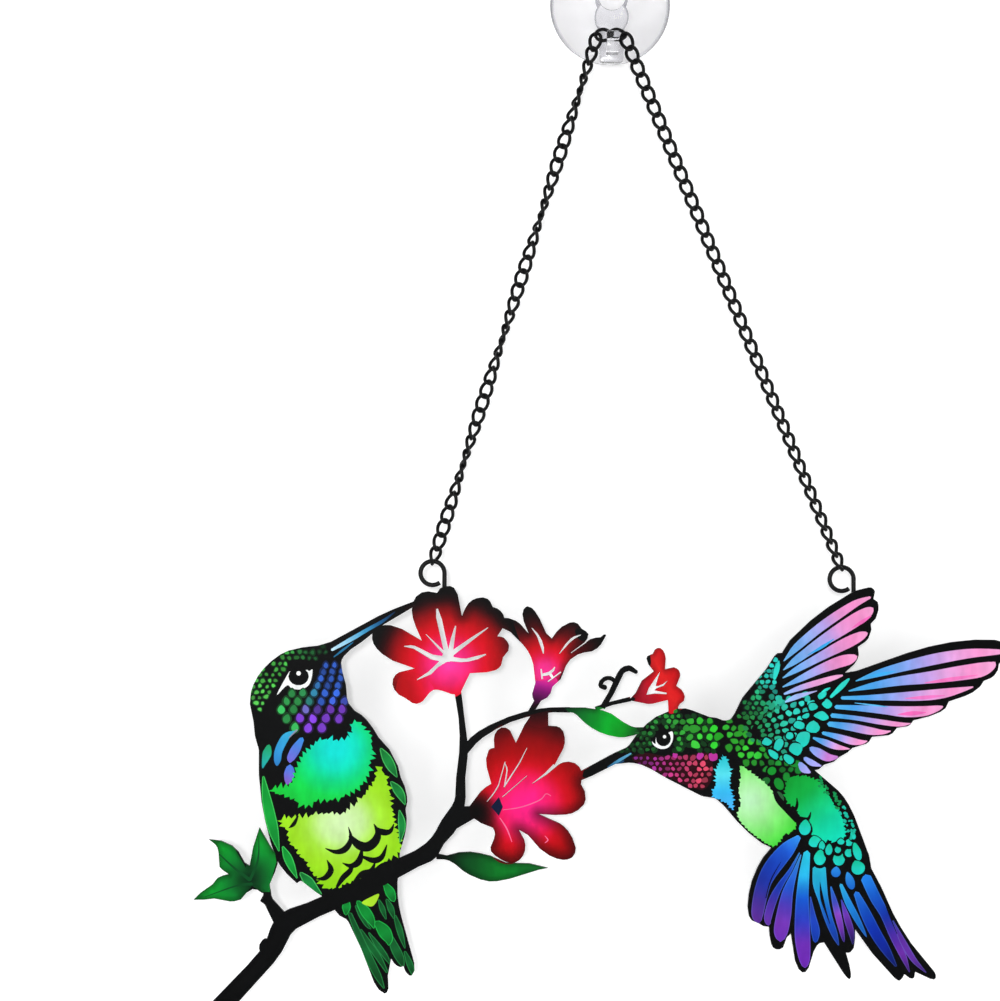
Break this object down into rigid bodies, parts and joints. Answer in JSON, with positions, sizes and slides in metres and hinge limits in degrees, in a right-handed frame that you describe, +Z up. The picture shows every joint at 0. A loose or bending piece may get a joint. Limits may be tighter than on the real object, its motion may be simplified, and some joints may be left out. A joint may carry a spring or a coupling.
{
  "type": "metal suncatcher",
  "caption": "Flat cut-metal ornament of hummingbirds at flowers on a branch, painted in bright enamel and hung by a chain from a clear suction cup hook.",
  "frame": {"origin": "middle of the suction cup's face, on the glass", "axes": "+Y out of the object into the glass, +Z up; the painted front of the sheet looks along -Y and +X is to the right as it is seen from there"},
  "size_m": [0.2716, 0.0177, 0.3611],
  "materials": {
    "enamelled_sheet": "gloss enamel, black ground with green, blue, violet, red and pink areas",
    "black_wire": "black coated steel wire",
    "black_chain": "black coated steel chain",
    "clear_vinyl": "clear soft vinyl",
    "clear_plastic": "clear moulded plastic"
  },
  "bodies": {
    "root": {"bird_sheet": "enamelled_sheet", "eye_left": "black_wire", "eye_right": "black_wire", "chain_left": "black_chain", "chain_right": "black_chain", "suction_cup": "clear_vinyl", "cup_hook": "clear_plastic"}
  },
  "joints": []
}
